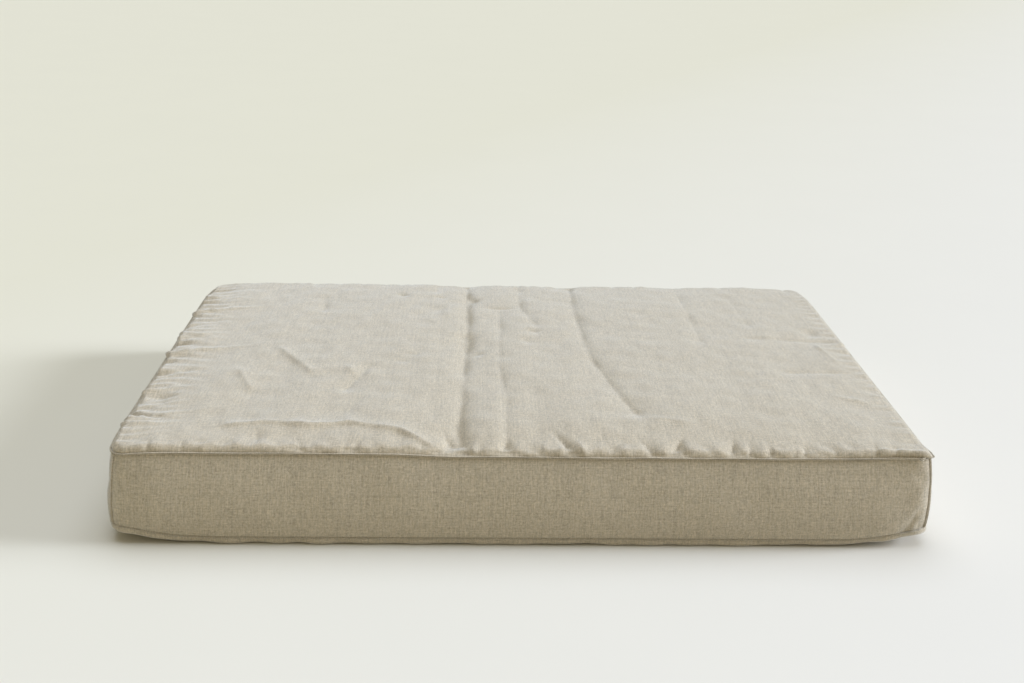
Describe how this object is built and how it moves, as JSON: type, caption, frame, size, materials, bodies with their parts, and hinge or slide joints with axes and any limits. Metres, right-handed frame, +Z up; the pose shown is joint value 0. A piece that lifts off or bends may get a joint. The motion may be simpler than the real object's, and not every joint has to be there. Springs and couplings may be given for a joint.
{
  "type": "floor cushion",
  "caption": "Rectangular box floor cushion: foam slab in wadding and a calico case, inside a sewn linen cover with boxing bands and a zip along the back.",
  "frame": {"origin": "middle of the underside, on the floor", "axes": "+X along the long side to the right seen from the front, +Y towards the back band with the zip, +Z up"},
  "size_m": [1, 0.7032, 0.125],
  "materials": {
    "linen": "matte plain-weave natural linen",
    "thread": "matte spun thread",
    "zip_tape": "matte woven polyester tape",
    "zip_nylon": "satin moulded nylon",
    "zip_metal": "antique brass, satin",
    "calico": "matte plain calico",
    "wadding": "soft fibrous polyester",
    "foam": "open-cell foam"
  },
  "bodies": {
    "cushion": {"cover_top_panel": "linen", "cover_bottom_panel": "linen", "cover_front_band": "linen", "cover_right_band": "linen", "cover_left_band": "linen", "cover_back_upper_band": "linen", "cover_back_lower_band": "linen", "top_seam_stitching": "thread", "bottom_seam_stitching": "thread", "corner_seam_stitching": "thread", "zip_stitching": "thread", "zip_tape_upper": "zip_tape", "zip_tape_lower": "zip_tape", "zip_coil_upper": "zip_nylon", "zip_coil_lower": "zip_nylon", "zip_top_stops": "zip_metal", "zip_bottom_stop": "zip_metal", "inner_casing_top": "calico", "inner_casing_bottom": "calico", "inner_casing_band": "calico", "wadding_top": "wadding", "wadding_bottom": "wadding", "foam_core": "foam"},
    "zip_slider": {"zip_slider_body": "zip_metal"},
    "zip_pull": {"zip_pull_tab": "zip_metal"}
  },
  "joints": [
    {"name": "zip_slide", "type": "slide", "parent": "cushion", "child": "zip_slider", "axis": [-1, 0, 0], "range_m": [0, 0.91]},
    {"name": "pull_swing", "type": "hinge", "parent": "zip_slider", "child": "zip_pull", "pos_m": [0.455, 0.3517, 0.0635], "axis": [0, 0, -1], "range_deg": [0, 180]}
  ]
}
